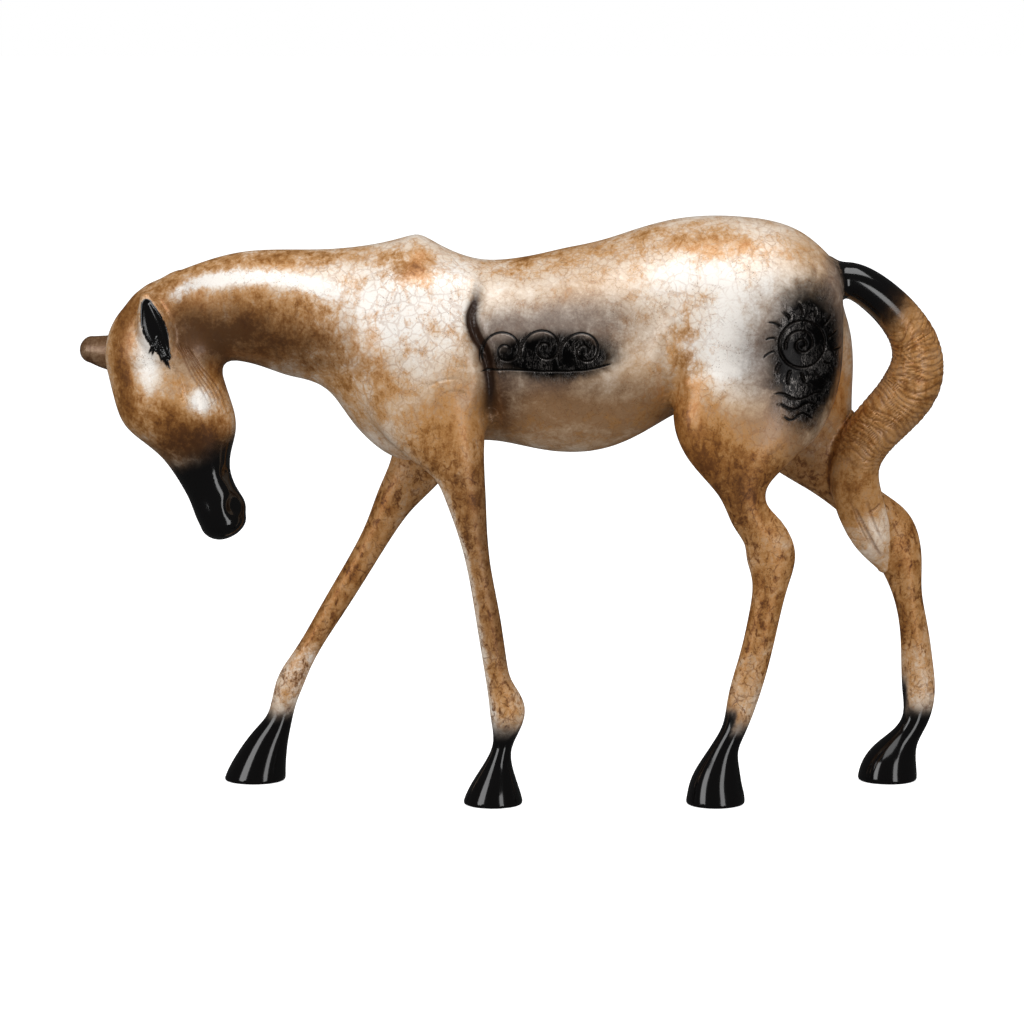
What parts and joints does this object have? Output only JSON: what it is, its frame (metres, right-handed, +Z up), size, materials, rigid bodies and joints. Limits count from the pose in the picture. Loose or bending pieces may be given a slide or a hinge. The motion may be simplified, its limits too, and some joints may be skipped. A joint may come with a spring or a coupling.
{
  "type": "abstract horse sculpture",
  "caption": "Cast bronze figure of a standing horse with long thin legs, a small hung head and a curled tail, for a table or shelf.",
  "frame": {"origin": "middle of the bounding box, on the surface that the hooves stand on", "axes": "+Z up, +X toward the tail and -X toward the head, -Y toward the horse's left side, which the picture shows"},
  "size_m": [0.6065, 0.1163, 0.4072],
  "materials": {
    "patinated_bronze": "mottled cream and brown patina under clear lacquer, polished black at muzzle, ear, tail root and hooves"
  },
  "bodies": {
    "root": {"horse": "patinated_bronze"}
  },
  "joints": []
}
